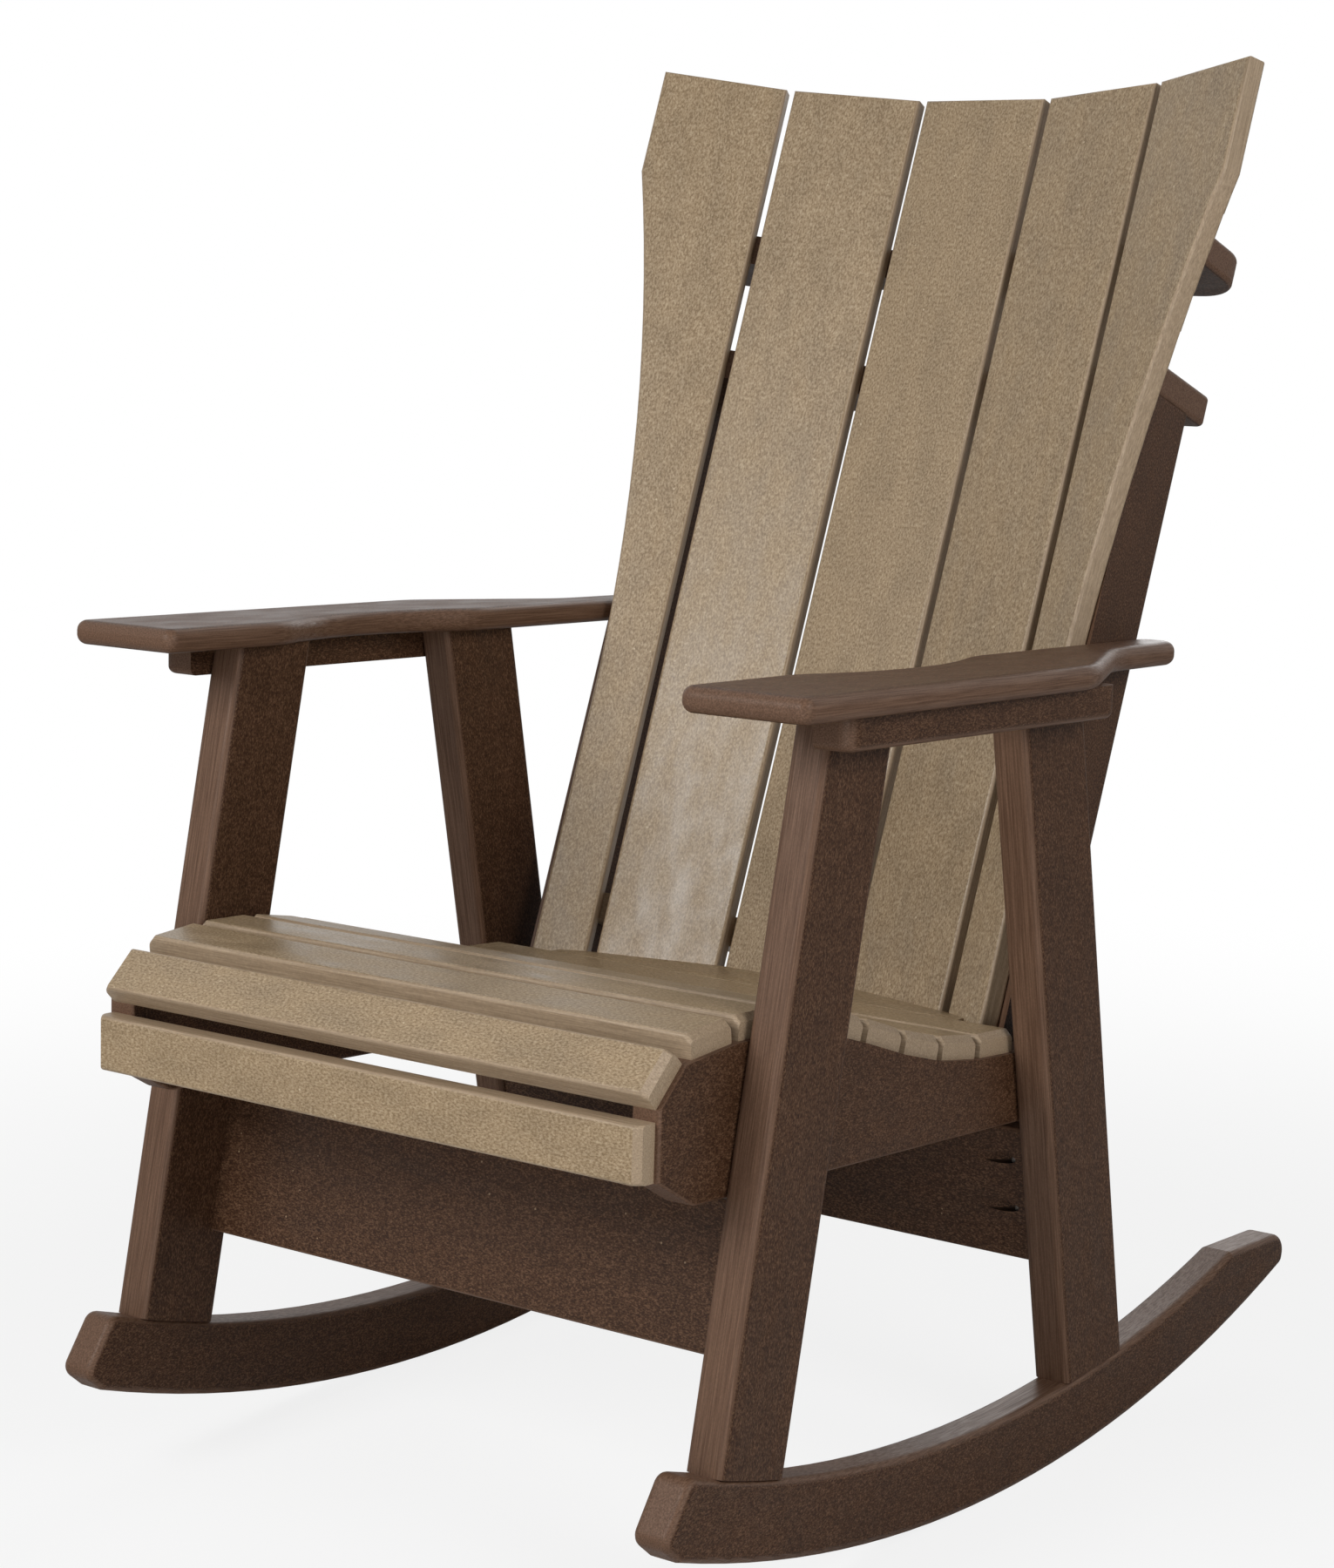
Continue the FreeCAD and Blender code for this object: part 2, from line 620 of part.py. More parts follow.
for side in ("left", "right"):
    runner(side)
    build_leg("front_leg", side, "-front_leg_foot", "front_leg_lean", "front_leg_width")
    build_leg("rear_leg", side, "rear_leg_foot", "rear_leg_tilt", "rear_leg_width")
    arm(side)
    arm_support(side)
    seat_side(side)
    back_upright(side)
seat_nose_slat()
for number in SEAT_ROW:
    seat_slat(number)
rear_seat_slat()
seat_apron()
stretcher("front_stretcher", "-front_leg_foot", "front_leg_lean",
          "(front_leg_width / 2 - slat_board)", "front_stretcher_rise")
stretcher("rear_stretcher", "rear_leg_foot", "rear_leg_tilt",
          "(rear_stretcher_setback - rear_leg_width / 2)", "rear_stretcher_rise")
back_slats()
back_rail("lower_back_rail", "-lower_rail_depth", "upright_inner", "lower_rail_rear",
          "rail_rounding")
back_rail("mid_back_rail", "upright_top", "upright_outer", "mid_rail_rear", "mid_rail_corner")
back_rail("top_back_rail", "top_rail_height", "top_rail_reach", "top_rail_rear",
          "top_rail_corner")

# Balance: all boards are the same solid material, so the chair rests where the middle
# of their volume hangs straight below the centre of the runners' arc
volume = sum(body.Shape.Volume for body in chair)
balance = FreeCAD.Vector()
for body in chair:
    balance += body.Shape.CenterOfGravity * (body.Shape.Volume / volume)
rest_tilt = math.degrees(math.atan2(balance.y, value("rocker_radius") - balance.z))
layout.set(layout.getCellFromAlias("rest_tilt"), str(rest_tilt))
doc.recompute()

# Check every object, then write one file for each board
for item in doc.Objects:
    if "Invalid" in item.State or "Error" in item.State:
        raise RuntimeError(f"{item.Label} failed: {item.State}")
for body in chair:
    if body.Shape.isNull() or not body.Shape.isValid():
        raise RuntimeError(f"{body.Label} has no valid shape")
os.makedirs("parts", exist_ok=True)
for body in chair:
    body.Shape.exportStep(f"parts/{body.Label}.step")
print(f"{len(chair)} boards, {volume / 1e6:.2f} litres, rest tilt {rest_tilt:.3f} degrees")
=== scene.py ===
import math

import bmesh
import bpy
from mathutils import Euler, Matrix, Vector


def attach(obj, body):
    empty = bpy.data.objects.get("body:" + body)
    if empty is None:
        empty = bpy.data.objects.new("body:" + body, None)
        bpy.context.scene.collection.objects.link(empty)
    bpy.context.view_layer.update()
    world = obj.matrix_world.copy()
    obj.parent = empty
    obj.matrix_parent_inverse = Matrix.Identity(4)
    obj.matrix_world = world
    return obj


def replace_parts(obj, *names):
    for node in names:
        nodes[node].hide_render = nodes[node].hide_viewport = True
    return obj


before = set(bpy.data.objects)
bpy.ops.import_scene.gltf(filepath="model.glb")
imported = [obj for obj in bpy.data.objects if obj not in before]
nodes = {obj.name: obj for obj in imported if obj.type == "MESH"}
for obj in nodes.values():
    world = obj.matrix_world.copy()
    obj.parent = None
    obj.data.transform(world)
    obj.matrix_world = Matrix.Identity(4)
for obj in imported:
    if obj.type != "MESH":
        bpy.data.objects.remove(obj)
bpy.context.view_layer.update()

scene = bpy.context.scene


# Viewpoint: a long lens in front of the chair and to its left, a little above the
# arms. The chair leans back by the rest tilt, round the centre of its runners' arc,
# and the camera's place was found with the arms level, so it turns by the same tilt.
REST_TILT = math.radians(3.58)
RUNNER_ARC_CENTRE = Vector((0.0, 0.0, 1.25))
CAMERA_WITH_ARMS_LEVEL = Vector((1.65219, -2.16622, 0.88183))
CAMERA_AZIMUTH = math.radians(37.83)
CAMERA_ELEVATION = math.radians(9.46)
CAMERA_ROLL = math.radians(1.68)
SENSOR_LONG_SIDE = 36.0
LENS = 79.81
LENS_SHIFT_ACROSS = 0.01106
LENS_SHIFT_UP = 0.07811

rocked = Matrix.Rotation(-REST_TILT, 4, "X")
eye = RUNNER_ARC_CENTRE + rocked @ (CAMERA_WITH_ARMS_LEVEL - RUNNER_ARC_CENTRE)
aim = (rocked @ Matrix.Rotation(CAMERA_AZIMUTH, 4, "Z")
       @ Matrix.Rotation(math.pi / 2 - CAMERA_ELEVATION, 4, "X")
       @ Matrix.Rotation(CAMERA_ROLL, 4, "Z"))
camera_data = bpy.data.cameras.new("camera")
camera_data.sensor_width = SENSOR_LONG_SIDE
camera_data.lens = LENS
camera_data.shift_x = LENS_SHIFT_ACROSS
camera_data.shift_y = LENS_SHIFT_UP
camera = bpy.data.objects.new("camera", camera_data)
camera.matrix_world = Matrix.Translation(eye) @ aim
scene.collection.objects.link(camera)
scene.camera = camera
scene.view_settings.view_transform = "Standard"


# Studio: a white floor and white surroundings. The strongest of four soft lights stands
# high in front, a little to the sitter's right; two weaker ones are high on the left and
# behind, and the weakest is low in front.
CHAIR_MIDDLE = (0.0, 0.05, 0.5)
CHAIR_BASE = (0.0, 0.0, 0.3)
WHITE = (1.0, 1.0, 1.0, 1.0)
SURROUND_STRENGTH = 0.13
FLOOR_REACH = 30.0
FLOOR_GAP = 0.0004
FLOOR_PAINT = (0.75, 0.75, 0.75, 1.0)
FLOOR_ROUGHNESS = 0.9
GLOW_LEAST, GLOW_LEAST_WITHIN = 0.84, 0.6
GLOW_FULL, GLOW_FULL_BEYOND = 1.0, 2.0


def soft_light(name, place, target, width, height, power):
    """A rectangular lamp that faces a point."""
    lamp = bpy.data.lights.new(name, "AREA")
    lamp.shape = "RECTANGLE"
    lamp.size = width
    lamp.size_y = height
    lamp.energy = power
    holder = bpy.data.objects.new(name, lamp)
    holder.location = place
    away = Vector(place) - Vector(target)
    holder.rotation_euler = away.to_track_quat("Z", "Y").to_euler()
    scene.collection.objects.link(holder)


def span(tree, source, low, high, first, last, curve="SMOOTHSTEP"):
    """Map a value that runs from low to high onto one that runs from first to last."""
    mapping = tree.nodes.new("ShaderNodeMapRange")
    mapping.interpolation_type = curve
    for index, limit in enumerate((low, high, first, last), start=1):
        mapping.inputs[index].default_value = limit
    tree.links.new(source, mapping.inputs[0])
    return mapping.outputs[0]


soft_light("key_light", place=(-0.45, -2.2, 1.65), target=CHAIR_MIDDLE,
           width=0.8, height=0.8, power=30)
soft_light("front_light", place=(1.4, -2.4, 0.45), target=CHAIR_BASE,
           width=1.2, height=0.7, power=10)
soft_light("fill_light", place=(2.2, -0.6, 1.65), target=CHAIR_MIDDLE,
           width=0.9, height=0.9, power=22)
soft_light("back_light", place=(-0.9, 2.5, 1.5), target=CHAIR_MIDDLE,
           width=1.2, height=1.2, power=16)

# The surroundings light the chair weakly, and are white where the camera, a reflection
# or a ray that passes through sees them.
world = bpy.data.worlds.new("studio")
scene.world = world
world.use_nodes = True
tree = world.node_tree
tree.nodes.clear()
surround_light = tree.nodes.new("ShaderNodeBackground")
surround_light.inputs["Color"].default_value = WHITE
surround_light.inputs["Strength"].default_value = SURROUND_STRENGTH
white_behind = tree.nodes.new("ShaderNodeBackground")
white_behind.inputs["Color"].default_value = WHITE
white_behind.inputs["Strength"].default_value = 1.0
ray = tree.nodes.new("ShaderNodeLightPath")
seen = tree.nodes.new("ShaderNodeMath")
seen.operation = "MAXIMUM"
passing = tree.nodes.new("ShaderNodeMath")
passing.operation = "MAXIMUM"
either = tree.nodes.new("ShaderNodeMixShader")
output = tree.nodes.new("ShaderNodeOutputWorld")
tree.links.new(ray.outputs["Is Camera Ray"], seen.inputs[0])
tree.links.new(ray.outputs["Is Glossy Ray"], seen.inputs[1])
tree.links.new(seen.outputs[0], passing.inputs[0])
tree.links.new(ray.outputs["Is Transmission Ray"], passing.inputs[1])
tree.links.new(passing.outputs[0], either.inputs["Fac"])
tree.links.new(surround_light.outputs[0], either.inputs[1])
tree.links.new(white_behind.outputs[0], either.inputs[2])
tree.links.new(either.outputs[0], output.inputs["Surface"])

floor_mesh = bmesh.new()
bmesh.ops.create_grid(floor_mesh, x_segments=1, y_segments=1, size=FLOOR_REACH)
bmesh.ops.translate(floor_mesh, vec=(0, 0, -FLOOR_GAP), verts=floor_mesh.verts)
floor_data = bpy.data.meshes.new("floor")
floor_mesh.to_mesh(floor_data)
floor_mesh.free()
floor = bpy.data.objects.new("floor", floor_data)
scene.collection.objects.link(floor)

# The floor's paint takes the chair's shadow, and its glow, which only the camera sees,
# brings it up to white, wholly so from two metres away.
floor_finish = bpy.data.materials.new("pale_floor")
floor_finish.use_nodes = True
tree = floor_finish.node_tree
paint = tree.nodes["Principled BSDF"]
paint.inputs["Base Color"].default_value = FLOOR_PAINT
paint.inputs["Roughness"].default_value = FLOOR_ROUGHNESS
paint.inputs["Specular IOR Level"].default_value = 0.0
glow = tree.nodes.new("ShaderNodeEmission")
glow.inputs["Color"].default_value = WHITE
both = tree.nodes.new("ShaderNodeMixShader")
where = tree.nodes.new("ShaderNodeTexCoord")
distance = tree.nodes.new("ShaderNodeVectorMath")
distance.operation = "LENGTH"
ray = tree.nodes.new("ShaderNodeLightPath")
seen = tree.nodes.new("ShaderNodeMath")
seen.operation = "MULTIPLY"
tree.links.new(where.outputs["Object"], distance.inputs[0])
whiteness = span(tree, distance.outputs["Value"], GLOW_LEAST_WITHIN, GLOW_FULL_BEYOND,
                 GLOW_LEAST, GLOW_FULL)
tree.links.new(whiteness, seen.inputs[0])
tree.links.new(ray.outputs["Is Camera Ray"], seen.inputs[1])
tree.links.new(seen.outputs[0], both.inputs["Fac"])
tree.links.new(paint.outputs[0], both.inputs[1])
tree.links.new(glow.outputs[0], both.inputs[2])
tree.links.new(both.outputs[0], tree.nodes["Material Output"].inputs["Surface"])
floor_data.materials.append(floor_finish)


# Runners: two thick planks of brown moulded lumber, cut to the rocking arc, with
# their edges rounded by a router. The flat faces keep the moulded skin, flecked with
# paler grains; the cut edges are bare, paler and streaked along the plank.
def linear(red, green, blue):
    """A screen colour, 0 to 255, as the shader's own light values."""
    def decode(part):
        part = part / 255
        return part / 12.92 if part <= 0.04045 else ((part + 0.055) / 1.055) ** 2.4
    return (decode(red), decode(green), decode(blue), 1.0)


BROWN = {
    "slot": "brown_lumber",
    "deep": linear(46, 27, 15),
    "body": linear(70, 46, 30),
    "fleck": linear(112, 84, 64),
    "speck": linear(176, 150, 120),
    "cut_dark": linear(84, 60, 45),
    "cut_light": linear(116, 89, 71),
    "fleck_across": 0.0010,
    "fleck_along": 0.0019,
    "skin_roughness": 0.44,
    "cut_roughness": 0.46,
    "gloss": 0.20,
}
SHADES = [(level, level, level, 1.0) for level in (0.78, 1.0, 1.2)]
SKIN_STOPS = (0.36, 0.50, 0.68)
CLOUD_STOPS = (0.30, 0.50, 0.72)
CUT_STOPS = (0.33, 0.66)
FAINT_STOPS = (0.35, 0.55, 0.75)
SKIN_CLOUDINESS = 0.45
CUT_CLOUDINESS = 0.55
SPECKS_PER_METRE = 85.0
SPECK_CORE, SPECK_RIM = 0.05, 0.09
SPECK_ABSENT, SPECK_PRESENT = 0.72, 0.74
SPECK_STRENGTH = 0.7
NO_SKIN, WHOLE_SKIN = 0.80, 0.985
SKIN_SMOOTHER, SKIN_ROUGHER = 0.06, 0.08
CUT_SMOOTHER, CUT_ROUGHER = 0.05, 0.08
RELIEF_DEPTH = 0.00006
SEED_STEP_ACROSS, SEED_STEP_ALONG = 0.73, 0.31
LENGTHWISE = {"X": 0, "Y": 1, "Z": 2}
COLOUR_A, COLOUR_B, COLOUR_OUT = 6, 7, 2
VALUE_A, VALUE_B = 2, 3
SIDES = ("left", "right")
SIDEWAYS = (1.0, 0.0, 0.0)


def lumber(name, tones, grain, lean, face, seed):
    """Moulded lumber for one board.

    grain names the axis that the board's length follows once its lean about X is taken
    away, face is the direction of its moulded faces, and seed shifts the pattern."""
    finish = bpy.data.materials.new(name)
    finish.use_nodes = True
    tree = finish.node_tree
    make, join = tree.nodes.new, tree.links.new
    surface = tree.nodes["Principled BSDF"]
    where = make("ShaderNodeTexCoord")

    def pattern(across, along, detail, rough, shift):
        """Noise drawn out along the board; across and along are sizes in metres."""
        place = make("ShaderNodeMapping")
        place.vector_type = "TEXTURE"
        place.inputs["Location"].default_value = (
            seed * SEED_STEP_ACROSS + shift, seed * SEED_STEP_ALONG, shift)
        place.inputs["Rotation"].default_value = (lean, 0.0, 0.0)
        size = [across] * 3
        size[LENGTHWISE[grain]] = along
        place.inputs["Scale"].default_value = size
        noise = make("ShaderNodeTexNoise")
        noise.inputs["Scale"].default_value = 1.0
        noise.inputs["Detail"].default_value = detail
        noise.inputs["Roughness"].default_value = rough
        join(where.outputs["Object"], place.inputs["Vector"])
        join(place.outputs["Vector"], noise.inputs["Vector"])
        return noise.outputs["Fac"]

    def ramp(source, stops, colours):
        """Colour a value: each colour stands at its stop."""
        colouring = make("ShaderNodeValToRGB")
        band = colouring.color_ramp
        while len(band.elements) < len(stops):
            band.elements.new(0.5)
        for element, stop, colour in zip(band.elements, stops, colours):
            element.position = stop
            element.color = colour
        join(source, colouring.inputs["Fac"])
        return colouring.outputs["Color"]

    def blend(mode, amount, first, second):
        """Mix two colours by a set amount or by a value that varies."""
        mix = make("ShaderNodeMix")
        mix.data_type = "RGBA"
        mix.blend_type = mode
        if isinstance(amount, float):
            mix.inputs[0].default_value = amount
        else:
            join(amount, mix.inputs[0])
        join(first, mix.inputs[COLOUR_A])
        join(second, mix.inputs[COLOUR_B])
        return mix.outputs[COLOUR_OUT]

    def choose(amount, first, second):
        """Pass from one value to another as the amount rises from 0 to 1."""
        mix = make("ShaderNodeMix")
        mix.data_type = "FLOAT"
        join(amount, mix.inputs[0])
        join(first, mix.inputs[VALUE_A])
        join(second, mix.inputs[VALUE_B])
        return mix.outputs[0]

    # The skin: flecks, clouded over a few centimetres, with rare pale specks.
    flecks = pattern(tones["fleck_across"], tones["fleck_along"],
                     detail=3.0, rough=0.62, shift=0.0)
    skin = ramp(flecks, SKIN_STOPS, (tones["deep"], tones["body"], tones["fleck"]))
    clouds = pattern(across=0.020, along=0.045, detail=3.0, rough=0.55, shift=11.0)
    skin = blend("MULTIPLY", SKIN_CLOUDINESS, skin, ramp(clouds, CLOUD_STOPS, SHADES))
    grains = make("ShaderNodeTexVoronoi")
    grains.inputs["Scale"].default_value = SPECKS_PER_METRE
    join(where.outputs["Object"], grains.inputs["Vector"])
    rare = make("ShaderNodeSeparateColor")
    join(grains.outputs["Color"], rare.inputs["Color"])
    specks = make("ShaderNodeMath")
    specks.operation = "MULTIPLY"
    join(span(tree, grains.outputs["Distance"], low=SPECK_CORE, high=SPECK_RIM,
              first=1.0, last=0.0), specks.inputs[0])
    join(span(tree, rare.outputs["Red"], low=SPECK_ABSENT, high=SPECK_PRESENT,
              first=0.0, last=SPECK_STRENGTH), specks.inputs[1])
    speck_colour = make("ShaderNodeRGB")
    speck_colour.outputs[0].default_value = tones["speck"]
    skin = blend("MIX", specks.outputs[0], skin, speck_colour.outputs[0])

    # The cut: long streaks, with the same flecks showing faintly.
    streaks = pattern(across=0.0011, along=0.055, detail=3.0, rough=0.65, shift=23.0)
    cut = ramp(streaks, CUT_STOPS, (tones["cut_dark"], tones["cut_light"]))
    cut = blend("MULTIPLY", CUT_CLOUDINESS, cut, ramp(flecks, FAINT_STOPS, SHADES))

    # Where the surface turns away from the moulded faces, the cut takes over.
    towards = make("ShaderNodeVectorMath")
    towards.operation = "DOT_PRODUCT"
    towards.inputs[1].default_value = face
    join(where.outputs["Normal"], towards.inputs[0])
    flatness = make("ShaderNodeMath")
    flatness.operation = "ABSOLUTE"
    join(towards.outputs["Value"], flatness.inputs[0])
    bare = span(tree, flatness.outputs[0], low=NO_SKIN, high=WHOLE_SKIN, first=1.0, last=0.0)
    join(blend("MIX", bare, skin, cut), surface.inputs["Base Color"])

    skin_roughness = span(tree, clouds, low=0.25, high=0.75,
                          first=tones["skin_roughness"] - SKIN_SMOOTHER,
                          last=tones["skin_roughness"] + SKIN_ROUGHER)
    cut_roughness = span(tree, streaks, low=0.3, high=0.7,
                         first=tones["cut_roughness"] + CUT_ROUGHER,
                         last=tones["cut_roughness"] - CUT_SMOOTHER)
    join(choose(bare, skin_roughness, cut_roughness), surface.inputs["Roughness"])

    pits = pattern(across=0.0022, along=0.0030, detail=2.0, rough=0.5, shift=37.0)
    bump = make("ShaderNodeBump")
    bump.inputs["Strength"].default_value = 1.0
    bump.inputs["Distance"].default_value = RELIEF_DEPTH
    join(choose(bare, pits, streaks), bump.inputs["Height"])
    join(bump.outputs["Normal"], surface.inputs["Normal"])
    surface.inputs["Specular IOR Level"].default_value = tones["gloss"]
    return finish


def finish_board(name, tones, grain, lean, face, seed):
    """Give a carried-over board its own lumber."""
    board = nodes[name]
    board.data.materials.clear()
    board.data.materials.append(lumber(f"{name}_lumber", tones, grain, lean, face, seed))


for seed, side in enumerate(SIDES, start=1):
    finish_board(f"runner_{side}", BROWN, "Y", 0.0, SIDEWAYS, seed)


# Legs: straight planks of the same lumber, leaning together towards the arms and
# coped over the runners, which they are screwed down to.
FRONT_LEG_LEAN = math.radians(10.9)
REAR_LEG_LEAN = math.radians(-11.6)
LEGS = (
    ("front_leg_left", FRONT_LEG_LEAN),
    ("front_leg_right", FRONT_LEG_LEAN),
    ("rear_leg_left", REAR_LEG_LEAN),
    ("rear_leg_right", REAR_LEG_LEAN),
)
for seed, (name, lean) in enumerate(LEGS, start=3):
    finish_board(name, BROWN, "Z", -lean - REST_TILT, SIDEWAYS, seed)


# Stretchers: thinner planks that join the legs at the front and the back. A slanted
# pocket is bored for each of the two screws at each end, in the face that is turned to
# the middle of the chair, and the screw runs on into the leg.
LEG_INNER_FACE = 0.2665
FRONT_LEG_FOOT, FRONT_LEG_WIDTH = -0.305, 0.079
REAR_LEG_FOOT, REAR_LEG_WIDTH = 0.190, 0.084
FRONT_STRETCHER_RISE = 0.169
REAR_STRETCHER_RISE = 0.171
REAR_STRETCHER_INSET = 0.005
REAR_STRETCHER_LIFT = 0.0055
POCKET_ANGLE = math.radians(15)
POCKET_DIAMETER = 0.0095
POCKET_LAND = 0.008
POCKET_RUN = 0.060
POCKET_RISE = 0.044
POCKET_PITCH = 0.041
POCKET_DEEPEST = 0.012
SCREW_DEPTH_AT_JOINT = 0.0065
SCREW_SHANK = 0.004
SCREW_BITE = 0.025
SCREW_HEAD = 0.008
SCREW_HEAD_HEIGHT = 0.003
SCREW_NECK = 0.001
SCREW_RIM_ANGLE = 1.0
SCREW_RIM_BEVEL = 0.0004
STEEL_GRAIN = 900.0
WELD_GAP = 0.00001
SURFACE_MARGIN = 0.0002
ROUND_SIDES = 24
SMOOTH_UP_TO = math.radians(35)


def fronting(lean, turn=0.0):
    """Direction of a board's face that points forwards before it leans and turns."""
    leaning = Matrix.Rotation(-lean - REST_TILT, 3, "X")
    return leaning @ Matrix.Rotation(turn, 3, "Z") @ Vector((0.0, -1.0, 0.0))


def from_leg(foot, lean):
    """Frame of a leaning leg: Y through its width, Z up it, from its foot on the floor."""
    stand = Vector((0.0, foot, 0.0)) - RUNNER_ARC_CENTRE
    return (Matrix.Translation(RUNNER_ARC_CENTRE) @ rocked @ Matrix.Translation(stand)
            @ Matrix.Rotation(-lean, 4, "X"))


def merged_board(node):
    """A bmesh of a carried-over board with its loose triangles joined."""
    board = bmesh.new()
    board.from_mesh(nodes[node].data)
    for layer in list(board.loops.layers.float_vector.values()):
        board.loops.layers.float_vector.remove(layer)
    bmesh.ops.remove_doubles(board, verts=board.verts, dist=WELD_GAP)
    return board


def rod(shape, place, diameter, start, length):
    """Add a closed cylinder along a frame's X, from a distance along it."""
    turned = place @ Matrix.Translation((start + length / 2, 0, 0)) @ Matrix.Rotation(
        math.pi / 2, 4, "Y")
    bmesh.ops.create_cone(shape, cap_ends=True, segments=ROUND_SIDES, radius1=diameter / 2,
                          radius2=diameter / 2, depth=length, matrix=turned)


def bored_out(board, bores, name):
    """The board less the bores, as a new bmesh; the two that went in are used up."""
    helpers = []
    for shape, part in ((bores, "bores"), (board, "blank")):
        mesh = bpy.data.meshes.new(f"{name}_{part}")
        shape.to_mesh(mesh)
        shape.free()
        helpers.append(bpy.data.objects.new(f"{name}_{part}", mesh))
        scene.collection.objects.link(helpers[-1])
    cutter, blank = helpers
    boring = blank.modifiers.new("pockets", "BOOLEAN")
    boring.operation = "DIFFERENCE"
    boring.solver = "EXACT"
    boring.object = cutter
    bored = bmesh.new()
    bored.from_object(blank, bpy.context.evaluated_depsgraph_get())
    for helper in helpers:
        bpy.data.objects.remove(helper)
    return bored


def new_piece(name, shape, finish):
    """Make a piece of a bmesh, smooth up to its sharper edges, and fix it to the chair."""
    mesh = bpy.data.meshes.new(name)
    shape.to_mesh(mesh)
    shape.free()
    mesh.shade_smooth()
    mesh.set_sharp_from_angle(angle=SMOOTH_UP_TO)
    mesh.materials.append(finish)
    piece = bpy.data.objects.new(name, mesh)
    scene.collection.objects.link(piece)
    even = piece.modifiers.new("even_shading", "WEIGHTED_NORMAL")
    even.keep_sharp = True
    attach(piece, "root")
    return piece


steel = bpy.data.materials.new("stainless_steel")
steel.use_nodes = True
tree = steel.node_tree
metal = tree.nodes["Principled BSDF"]
metal.inputs["Base Color"].default_value = linear(92, 88, 84)
metal.inputs["Metallic"].default_value = 1.0
where = tree.nodes.new("ShaderNodeTexCoord")
turning = tree.nodes.new("ShaderNodeTexNoise")
turning.inputs["Scale"].default_value = STEEL_GRAIN
tree.links.new(where.outputs["Object"], turning.inputs["Vector"])
dull = span(tree, turning.outputs["Fac"], low=0.3, high=0.7, first=0.28, last=0.46,
            curve="LINEAR")
tree.links.new(dull, metal.inputs["Roughness"])

# Painted shade for the pockets: their walls take a near-black brown cut, standing in for the
# shade inside the bored hollows.
POCKET_PAINTED_SHADE = dict(BROWN, cut_dark=linear(26, 17, 11), cut_light=linear(44, 30, 21))
STRETCHERS = (
    # name, leg's foot and lean, pocketed face, way into the board, lower edge up the leg,
    # and how much closer the board sits under the seat sides than the carried-over one
    ("front", FRONT_LEG_FOOT, FRONT_LEG_LEAN, FRONT_LEG_WIDTH / 2, -1,
     FRONT_STRETCHER_RISE, 0.0),
    ("rear", REAR_LEG_FOOT, REAR_LEG_LEAN, REAR_STRETCHER_INSET - REAR_LEG_WIDTH / 2, 1,
     REAR_STRETCHER_RISE, REAR_STRETCHER_LIFT),
)
for seed, (name, foot, lean, face, inwards, rise, lift) in enumerate(STRETCHERS, start=9):
    leg = from_leg(foot, lean)
    lower_pocket = rise + lift + POCKET_RISE
    bores = bmesh.new()
    screws = bmesh.new()
    for way in (1, -1):
        for number in range(2):
            joint = Vector((way * LEG_INNER_FACE, face + inwards * SCREW_DEPTH_AT_JOINT,
                            lower_pocket + number * POCKET_PITCH))
            line = leg @ Matrix.Translation(joint) @ Matrix.Rotation(
                0.0 if way > 0 else math.pi, 4, "Z") @ Matrix.Rotation(
                way * inwards * POCKET_ANGLE, 4, "Z")
            rod(bores, line, POCKET_DIAMETER, -POCKET_LAND - POCKET_RUN, POCKET_RUN)
            rod(screws, line, SCREW_HEAD, -POCKET_LAND - SCREW_HEAD_HEIGHT, SCREW_HEAD_HEIGHT)
            rod(screws, line, SCREW_SHANK, -POCKET_LAND - SCREW_NECK, POCKET_LAND + SCREW_BITE)
    rims = [edge for edge in screws.edges if edge.calc_face_angle(0.0) > SCREW_RIM_ANGLE]
    bmesh.ops.bevel(screws, geom=rims, offset=SCREW_RIM_BEVEL, segments=2, profile=0.5,
                    affect="EDGES", material=-1)

    board = merged_board(f"{name}_stretcher")
    up_the_leg = leg.to_3x3() @ Vector((0.0, 0.0, lift))
    bmesh.ops.translate(board, vec=up_the_leg, verts=board.verts)
    plank_shape = bored_out(board, bores, f"{name}_stretcher")
    to_leg = leg.inverted()
    # Faces inside the pockets take the second finish, the painted pocket shade.
    for wall in plank_shape.faces:
        middle = to_leg @ wall.calc_center_median()
        depth = (middle.y - face) * inwards
        pocketed = lower_pocket - POCKET_DIAMETER < middle.z < (
            lower_pocket + POCKET_PITCH + POCKET_DIAMETER)
        if (pocketed and SURFACE_MARGIN < depth < POCKET_DEEPEST
                and abs(middle.x) < LEG_INNER_FACE - SURFACE_MARGIN):
            wall.material_index = 1
    finish = lumber(f"{name}_stretcher_lumber", BROWN, "X", -lean - REST_TILT,
                    fronting(lean), seed)
    plank = new_piece(f"{name}_cross_plank", plank_shape, finish)
    # The second finish is painted shade for the pocket walls, darker than the real cut lumber.
    plank.data.materials.append(lumber(f"{name}_pocket_painted_shade", POCKET_PAINTED_SHADE, "X",
                                       -lean - REST_TILT, fronting(lean), seed + 2))
    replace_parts(plank, f"{name}_stretcher")
    new_piece(f"{name}_stretcher_screws", screws, steel)


# Arms: wide planks with a hollow in the inner edge and a swept outer edge. Their
# underside is carried by a square bar that is screwed across the legs.
def facing(lean):
    """Direction of a board's face that points up before it leans back about X."""
    return Euler((-lean - REST_TILT, 0.0, 0.0)).to_matrix() @ Vector((0.0, 0.0, 1.0))


for seed, side in enumerate(SIDES, start=13):
    finish_board(f"arm_{side}", BROWN, "Y", -REST_TILT, facing(0.0), seed)
    finish_board(f"arm_support_{side}", BROWN, "Y", -REST_TILT, SIDEWAYS, seed + 2)


# Seat sides: planks on edge inside the legs. They are cut on top to the dished line of
# the seat, so that each slat has its own flat seating.
for seed, side in enumerate(SIDES, start=17):
    finish_board(f"seat_side_{side}", BROWN, "Y", -REST_TILT, SIDEWAYS, seed)


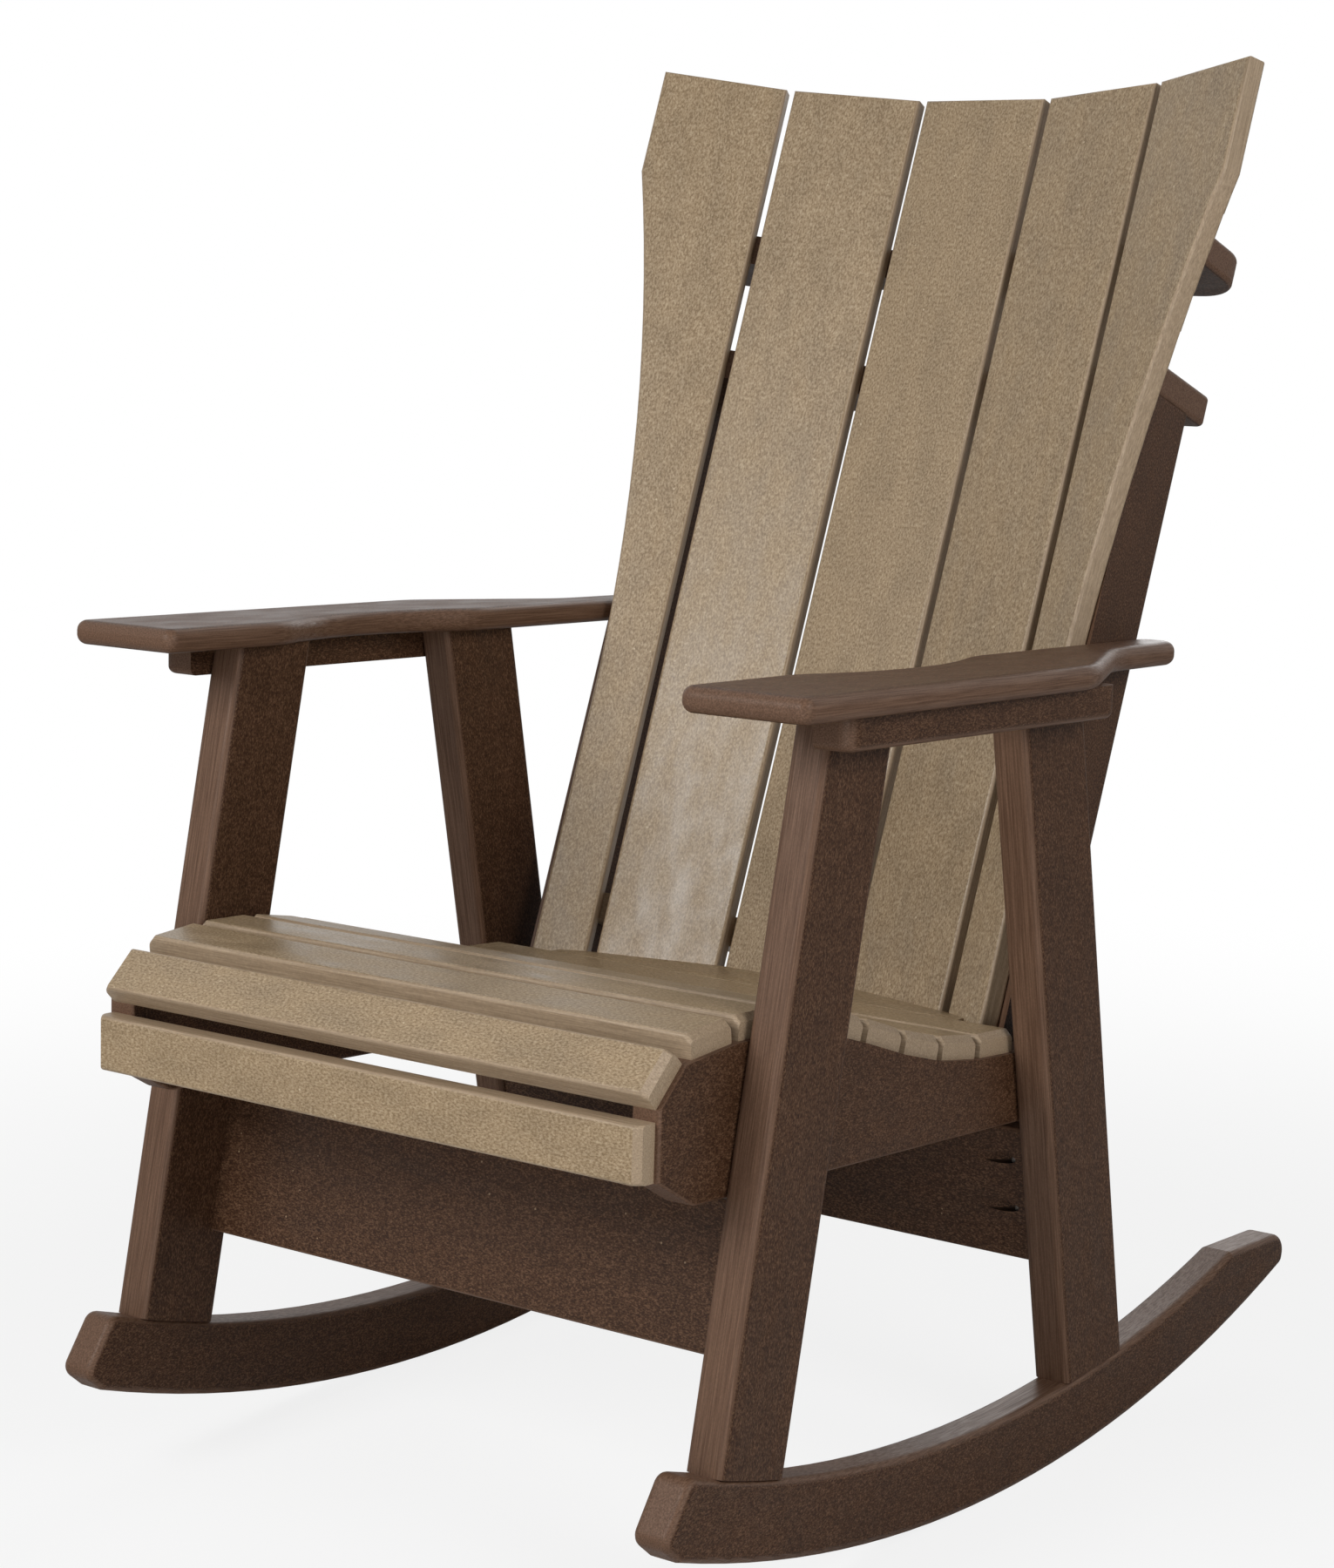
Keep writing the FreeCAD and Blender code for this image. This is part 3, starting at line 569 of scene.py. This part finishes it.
# Seat slats: narrow boards of sand-coloured lumber, each flat on its own seating, with
# bevelled ends. The ends are sawn and the long edges are rounded. The dips are the
# slats' leans in degrees, from the front of the seat to the back.
TAN = {
    "slot": "tan_lumber",
    "deep": linear(128, 106, 78),
    "body": linear(155, 133, 103),
    "fleck": linear(184, 164, 136),
    "speck": linear(212, 196, 168),
    "cut_dark": linear(146, 125, 100),
    "cut_light": linear(178, 156, 130),
    "fleck_across": 0.0015,
    "fleck_along": 0.0026,
    "skin_roughness": 0.37,
    "cut_roughness": 0.46,
    "gloss": 0.42,
}
SEAT_DIPS = (-6.3, 0.5, 8.5, 16.0, 17.5, 14.0, 7.0, 2.0)
for number, dip in enumerate(SEAT_DIPS, start=1):
    lean = math.radians(dip)
    finish_board(f"seat_slat_{number}", TAN, "X", -lean - REST_TILT, facing(lean),
                 seed=number + 20)


# Ends of the seat: a sloping nose slat with an upright apron below it at the front, and
# at the rear a slat that is cut to the hollow of the back.
NOSE_LEAN = math.radians(-45.0)
finish_board("seat_nose_slat", TAN, "X", -NOSE_LEAN - REST_TILT, facing(NOSE_LEAN), seed=30)
finish_board("seat_apron", TAN, "X", -REST_TILT, fronting(0.0), seed=31)
finish_board("rear_seat_slat", TAN, "X", -REST_TILT, facing(0.0), seed=32)


# Back frame: two brown uprights outside the arms' tongues and three rails that are cut
# to the hollow of the back. The lowest rail is sand-coloured.
BACK_LEAN = math.radians(19.0)
for seed, side in enumerate(SIDES, start=35):
    finish_board(f"back_upright_{side}", BROWN, "Z", -BACK_LEAN - REST_TILT, SIDEWAYS, seed)
RAILS = (("lower_back_rail", TAN), ("mid_back_rail", BROWN), ("top_back_rail", BROWN))
for seed, (name, tones) in enumerate(RAILS, start=38):
    finish_board(name, tones, "X", -BACK_LEAN - REST_TILT, facing(BACK_LEAN), seed)


# Back slats: five tall boards in a shallow hollow. The middle three are straight and
# the outer two are waisted. Each is the carried-over board with its foot made longer and
# wider. Only their edges are cut; the faces keep the moulded skin.
ARM_TOP = 0.6465
BACK_FACE = 0.243
SLAT_TOP = 0.460
SLAT_FOOT = -0.318
SLAT_WIDTH = 0.118
SLAT_GAP = 0.007
FOOT_LENGTHENING = 0.012
FOOT_END = 0.99
STRAIGHT_FOOT, STRAIGHT_FOOT_INNER, STRAIGHT_FOOT_MIDDLE = 0.107, 0.1125, 0.118
WAISTED_FOOT, WAISTED_FOOT_NEW = 0.044, 0.048
INNER_FAN, OUTER_FAN = math.radians(13.2), math.radians(23.8)
BETWEEN_FANS = (INNER_FAN + OUTER_FAN) / 2
INNER_X = SLAT_WIDTH / 2 + SLAT_GAP * math.cos(INNER_FAN / 2)
INNER_FORWARDS = SLAT_GAP * math.sin(INNER_FAN / 2)
OUTER_X = INNER_X + SLAT_WIDTH * math.cos(INNER_FAN) + SLAT_GAP * math.cos(BETWEEN_FANS)
OUTER_FORWARDS = (INNER_FORWARDS + SLAT_WIDTH * math.sin(INNER_FAN)
                  + SLAT_GAP * math.sin(BETWEEN_FANS))
BACK_SLATS = (
    # turn, across and forwards; width at the foot, old and new; edge that stays, if outer
    (OUTER_FAN, -OUTER_X, OUTER_FORWARDS, WAISTED_FOOT, WAISTED_FOOT_NEW, -WAISTED_FOOT),
    (INNER_FAN, -INNER_X, INNER_FORWARDS, STRAIGHT_FOOT, STRAIGHT_FOOT_INNER, 0.0),
    (0.0, 0.0, 0.0, STRAIGHT_FOOT, STRAIGHT_FOOT_MIDDLE, 0.0),
    (-INNER_FAN, INNER_X, INNER_FORWARDS, STRAIGHT_FOOT, STRAIGHT_FOOT_INNER, 0.0),
    (-OUTER_FAN, OUTER_X, OUTER_FORWARDS, WAISTED_FOOT, WAISTED_FOOT_NEW, WAISTED_FOOT),
)
for number, (turn, across, forwards, old, new, held) in enumerate(BACK_SLATS, start=1):
    stand = Vector((across, BACK_FACE - forwards * math.cos(BACK_LEAN),
                    ARM_TOP + forwards * math.sin(BACK_LEAN))) - RUNNER_ARC_CENTRE
    place = (Matrix.Translation(RUNNER_ARC_CENTRE) @ rocked @ Matrix.Translation(stand)
             @ Matrix.Rotation(-BACK_LEAN, 4, "X") @ Matrix.Rotation(turn, 4, "Z"))
    slat = merged_board(f"back_slat_{number}")
    bmesh.ops.transform(slat, matrix=place.inverted(), verts=slat.verts)
    for vertex in slat.verts:
        down = (SLAT_TOP - vertex.co.z) / (SLAT_TOP - SLAT_FOOT)
        growth = (new - old) * down
        if held:
            nearness = max(0.0, 1.0 - vertex.co.x / held)
            vertex.co.x -= math.copysign(growth, held) * min(1.0, nearness)
        else:
            width = old + (SLAT_WIDTH - old) * (1.0 - down)
            vertex.co.x *= (width + growth) / width
        if down > FOOT_END:
            vertex.co.z -= FOOT_LENGTHENING
    bmesh.ops.transform(slat, matrix=place, verts=slat.verts)
    finish = lumber(f"back_slat_{number}_lumber", TAN, "Z", -BACK_LEAN - REST_TILT,
                    fronting(BACK_LEAN, turn), seed=number + 42)
    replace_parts(new_piece(f"back_board_{number}", slat, finish),
                f"back_slat_{number}")
